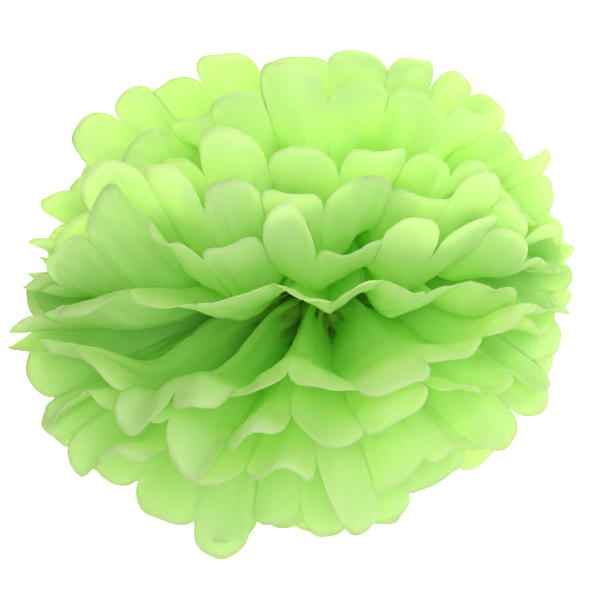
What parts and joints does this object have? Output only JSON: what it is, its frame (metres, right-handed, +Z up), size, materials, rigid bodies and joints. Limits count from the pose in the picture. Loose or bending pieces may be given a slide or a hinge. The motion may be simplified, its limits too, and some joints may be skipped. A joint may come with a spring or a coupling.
{
  "type": "tissue paper pom pom",
  "caption": "Round pom pom of pleated green tissue sheets, gathered at the waist by a wire and fanned into rounded petals.",
  "frame": {"origin": "middle of the wire tie, at the centre of the pom pom", "axes": "+X along the valley between the upper and lower fans, -Y towards the front, +Z up"},
  "size_m": [0.249, 0.2208, 0.2228],
  "materials": {
    "tissue": "thin matte tissue, lime green, lets light through",
    "wire": "bare drawn wire"
  },
  "bodies": {
    "root": {"sheet_01": "tissue", "sheet_02": "tissue", "sheet_03": "tissue", "sheet_04": "tissue", "sheet_05": "tissue", "sheet_06": "tissue", "sheet_07": "tissue", "sheet_08": "tissue", "sheet_09": "tissue", "sheet_10": "tissue", "wire_tie": "wire"}
  },
  "joints": []
}
